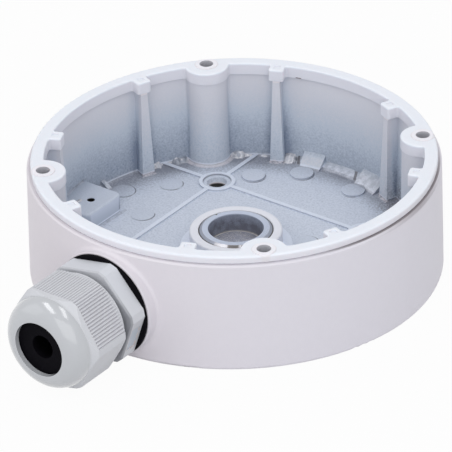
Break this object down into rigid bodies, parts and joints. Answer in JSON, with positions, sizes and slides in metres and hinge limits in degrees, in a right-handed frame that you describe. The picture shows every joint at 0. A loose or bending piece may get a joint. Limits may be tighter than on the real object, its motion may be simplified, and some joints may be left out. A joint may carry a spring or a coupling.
{
  "type": "camera junction box",
  "caption": "Round cast junction box for a dome camera, open upwards, with a rubber rim gasket, a cable gland in its side and a plugged hole in its base.",
  "frame": {"origin": "centre of the four fixing holes, on the plane of the base", "axes": "+Z out of the box's open side, away from the wall or ceiling; the cable gland points along -Y"},
  "size_m": [0.1382, 0.1736, 0.0413],
  "materials": {
    "painted_casting": "off-white powder coat over a rough casting, thin at the inside corners",
    "white_rubber": "smooth white silicone rubber",
    "black_rubber": "satin black rubber",
    "grey_nylon": "light grey moulded nylon with a slight gloss",
    "bare_metal": "turned aluminium, worn"
  },
  "bodies": {
    "box": {"housing": "painted_casting", "rim_gasket": "white_rubber", "gland_washer": "black_rubber", "gland_body": "grey_nylon", "plug_o_ring": "black_rubber", "rear_plug": "bare_metal"},
    "seal": {"gland_seal": "black_rubber"},
    "nut": {"gland_nut": "grey_nylon"}
  },
  "joints": [
    {"name": "seal_slide", "type": "slide", "parent": "box", "child": "seal", "axis": [0, 1, 0], "range_m": [-0.00602, 0.00112]},
    {"name": "nut_turn", "type": "hinge", "parent": "seal", "child": "nut", "pos_m": [0, -0.09, 0.0185], "axis": [0, 1, 0], "range_deg": [-1080, 198]}
  ],
  "couplings": [
    {"joint": "seal_slide", "follows": "nut_turn", "m_per_rad": 0.00031831}
  ]
}
